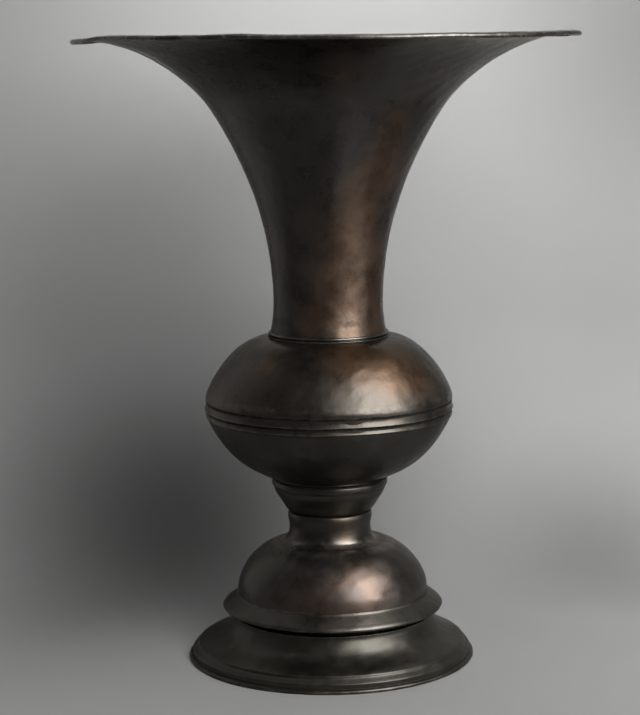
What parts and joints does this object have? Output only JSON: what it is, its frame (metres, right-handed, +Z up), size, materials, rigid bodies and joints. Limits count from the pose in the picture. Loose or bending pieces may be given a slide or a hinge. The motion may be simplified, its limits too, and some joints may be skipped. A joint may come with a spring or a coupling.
{
  "type": "baluster urn",
  "caption": "Copper floor urn with a flared trumpet neck and wired rim, a round beaded bowl, a cup, a waisted stem, a brimmed dome and a spreading plinth.",
  "frame": {"origin": "on the floor at the centre of the foot", "axes": "+Z up along the urn's axis of revolution, +X and +Y level, the tie bar under the deck runs along X"},
  "size_m": [0.722, 0.722, 0.9051],
  "materials": {
    "patinated_copper": "dark brown patina, waxed, worn brighter on the edges",
    "iron": "dull, lightly rusted",
    "leather": "oiled"
  },
  "bodies": {
    "root": {"plinth": "patinated_copper", "foot_wire": "iron", "foot_dome": "patinated_copper", "dome_brim": "patinated_copper", "brim_wire": "iron", "stem": "patinated_copper", "cup": "patinated_copper", "cup_bead": "patinated_copper", "lower_bowl": "patinated_copper", "lower_belly_bead": "patinated_copper", "upper_belly_bead": "patinated_copper", "shoulder": "patinated_copper", "neck_seat_ring": "patinated_copper", "trumpet_neck": "patinated_copper", "neck_bead": "patinated_copper", "rim_wire": "iron", "tie_rod": "iron", "bridge_bar": "iron", "bridge_washer": "iron", "bridge_nut": "iron", "bowl_seal": "leather", "bowl_washer": "patinated_copper", "bowl_nut": "iron"}
  },
  "joints": []
}
